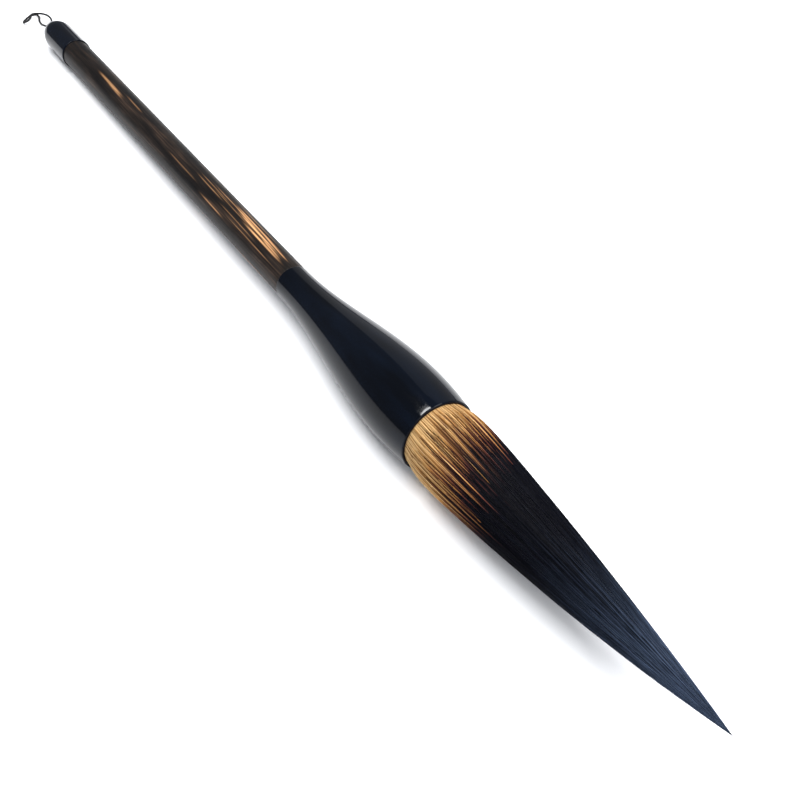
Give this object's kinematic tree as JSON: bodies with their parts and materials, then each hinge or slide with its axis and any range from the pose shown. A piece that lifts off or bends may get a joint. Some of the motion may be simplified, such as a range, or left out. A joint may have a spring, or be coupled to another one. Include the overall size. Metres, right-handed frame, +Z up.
{
  "type": "calligraphy brush",
  "caption": "Large calligraphy brush with a slim lacquered wooden handle, a flared black bell, a long pointed hair tuft that bends, and a black end cap with a cord hanging loop.",
  "frame": {"origin": "On the surface that the brush lies on, under the middle of its length from the end cap to the hair's point.", "axes": "+X from the hanging loop towards the hair's point, +Z up. The brush rests on its bell and its end cap, so its own axis rises 1.3 degrees towards the hair."},
  "size_m": [0.4206, 0.024, 0.024],
  "materials": {
    "lacquered_wood": "dark streaked wood under gloss lacquer",
    "black_horn": "polished blue-black horn",
    "amber_glue": "set animal glue",
    "rosin": "melted rosin",
    "tying_thread": "waxed linen thread",
    "tan_hair": "golden tan animal hair with brown streaks",
    "dark_hair": "blue-black animal hair with a soft sheen",
    "black_cord": "twisted black cord"
  },
  "bodies": {
    "brush": {"handle_shaft": "lacquered_wood", "end_cap": "black_horn", "bell": "black_horn", "cap_glue": "amber_glue", "bell_glue": "amber_glue", "root_glue_bed": "amber_glue", "root_resin": "rosin", "root_winding": "tying_thread", "hair_core_root": "tan_hair", "hair_cover_root": "tan_hair", "loop_knot": "black_cord", "loop_ends": "black_cord"},
    "tuft_1": {"hair_core_1": "dark_hair", "hair_cover_1": "dark_hair"},
    "tuft_2": {"hair_core_2": "dark_hair", "hair_cover_2": "dark_hair"},
    "tuft_3": {"hair_core_3": "dark_hair", "hair_cover_3": "dark_hair"},
    "tuft_4": {"hair_core_4": "dark_hair", "hair_cover_4": "dark_hair"},
    "loop": {"hanging_loop": "black_cord"}
  },
  "joints": [
    {"name": "tuft_bend_belly", "type": "hinge", "parent": "brush", "child": "tuft_1", "pos_m": [0.11242, 0, 0.01281], "axis": [-0.0228, 0, 0.9997], "range_deg": [-12, 12], "stiffness_Nm_per_rad": 0.05},
    {"name": "tuft_bend_middle", "type": "hinge", "parent": "tuft_1", "child": "tuft_2", "pos_m": [0.13404, 0, 0.01331], "axis": [-0.0228, 0, 0.9997], "range_deg": [-16.01, 16.01]},
    {"name": "tuft_bend_shoulder", "type": "hinge", "parent": "tuft_2", "child": "tuft_3", "pos_m": [0.15361, 0, 0.01375], "axis": [-0.0228, 0, 0.9997], "range_deg": [-20.01, 20.01]},
    {"name": "tuft_bend_point", "type": "hinge", "parent": "tuft_3", "child": "tuft_4", "pos_m": [0.17214, 0, 0.01418], "axis": [-0.0228, 0, 0.9997], "range_deg": [-24.01, 24.01]},
    {"name": "loop_swing", "type": "hinge", "parent": "brush", "child": "loop", "pos_m": [-0.1967, 0, 0.00576], "axis": [0, 1, 0], "range_deg": [0, 90]}
  ],
  "couplings": [
    {"joint": "tuft_bend_middle", "follows": "tuft_bend_belly", "ratio": 1.3333},
    {"joint": "tuft_bend_shoulder", "follows": "tuft_bend_belly", "ratio": 1.6667},
    {"joint": "tuft_bend_point", "follows": "tuft_bend_belly", "ratio": 2}
  ]
}
